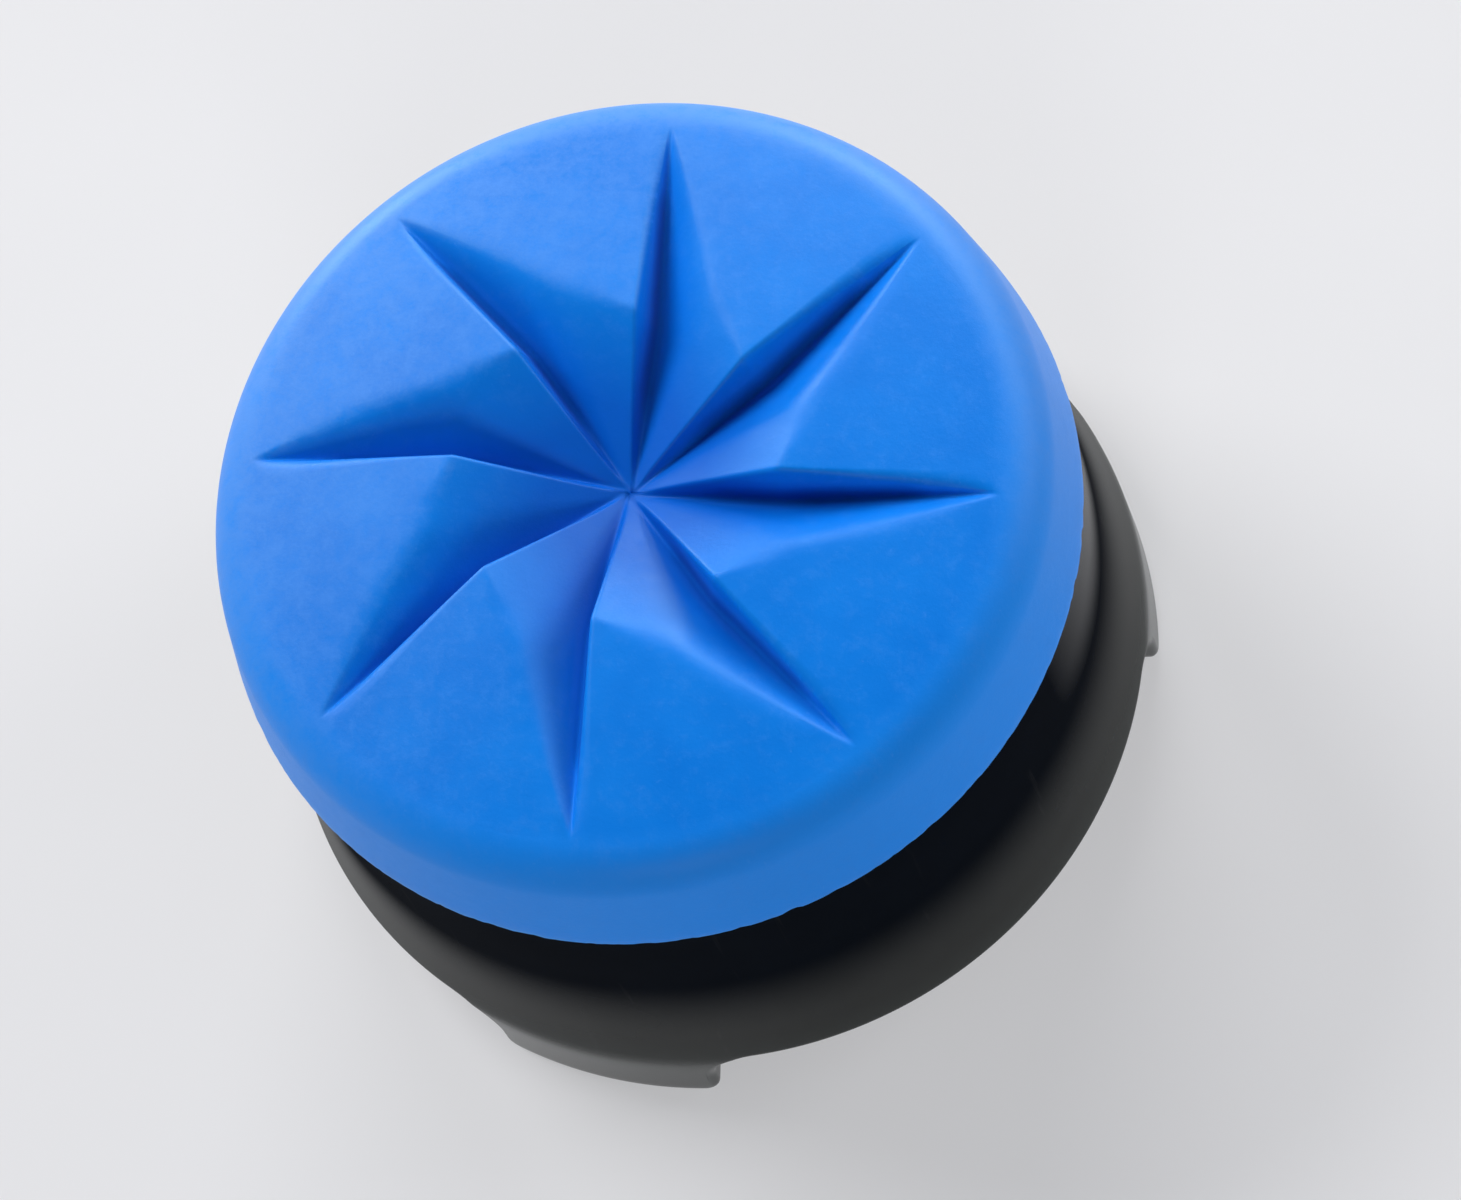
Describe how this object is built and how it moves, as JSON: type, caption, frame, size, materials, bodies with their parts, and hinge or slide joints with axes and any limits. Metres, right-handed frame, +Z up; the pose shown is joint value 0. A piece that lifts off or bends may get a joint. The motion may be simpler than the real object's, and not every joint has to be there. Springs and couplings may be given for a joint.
{
  "type": "controller thumb grip",
  "caption": "Clip-on thumb grip for a game controller's stick: domed rubber pad with a pinwheel star tread on a stiff plastic clip base with snap tabs.",
  "frame": {"origin": "on the grip's axis, in the plane of the clip tabs' feet", "axes": "+Z up along the grip's axis, out of the domed tread; +Y towards the tip of the tread's first groove"},
  "size_m": [0.0226, 0.0226, 0.015],
  "materials": {
    "clip_plastic": "black moulded plastic with a satin sheen",
    "pad_rubber": "matte blue rubber"
  },
  "bodies": {
    "root": {"clip_base": "clip_plastic", "grip_pad": "pad_rubber"}
  },
  "joints": []
}
